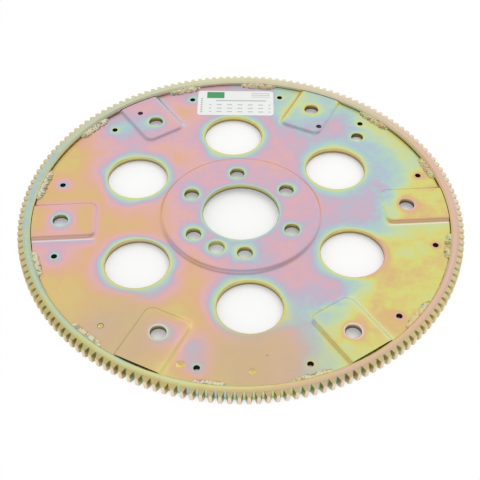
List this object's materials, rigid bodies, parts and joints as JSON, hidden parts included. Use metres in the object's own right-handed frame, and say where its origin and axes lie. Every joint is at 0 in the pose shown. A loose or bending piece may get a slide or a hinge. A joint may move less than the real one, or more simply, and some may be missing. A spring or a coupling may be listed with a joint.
{
  "type": "flexplate",
  "caption": "Stamped steel drive plate with raised converter pads, lightening holes and a welded starter ring gear; joins a crankshaft to a torque converter.",
  "frame": {"origin": "on the crankshaft axis, at the lower face of the ring gear", "axes": "+Z along the crankshaft axis, towards the face with the raised hub and pads; +X through the middle of one narrow-circle pad"},
  "size_m": [0.3588, 0.3588, 0.0095],
  "materials": {
    "plated_disc": "yellow iridescent zinc plating, satin",
    "plated_ring": "yellow iridescent zinc plating on machined steel, satin",
    "weld_metal": "plated weld bead, rippled",
    "label_film": "white printed film, matte"
  },
  "bodies": {
    "root": {"flex_disc": "plated_disc", "ring_gear": "plated_ring", "label": "label_film", "weld_bead_1": "weld_metal", "weld_bead_2": "weld_metal", "weld_bead_3": "weld_metal", "weld_bead_4": "weld_metal", "weld_bead_5": "weld_metal", "weld_bead_6": "weld_metal", "weld_bead_7": "weld_metal", "weld_bead_8": "weld_metal", "weld_bead_9": "weld_metal", "weld_bead_10": "weld_metal", "weld_bead_11": "weld_metal", "weld_bead_12": "weld_metal"}
  },
  "joints": []
}
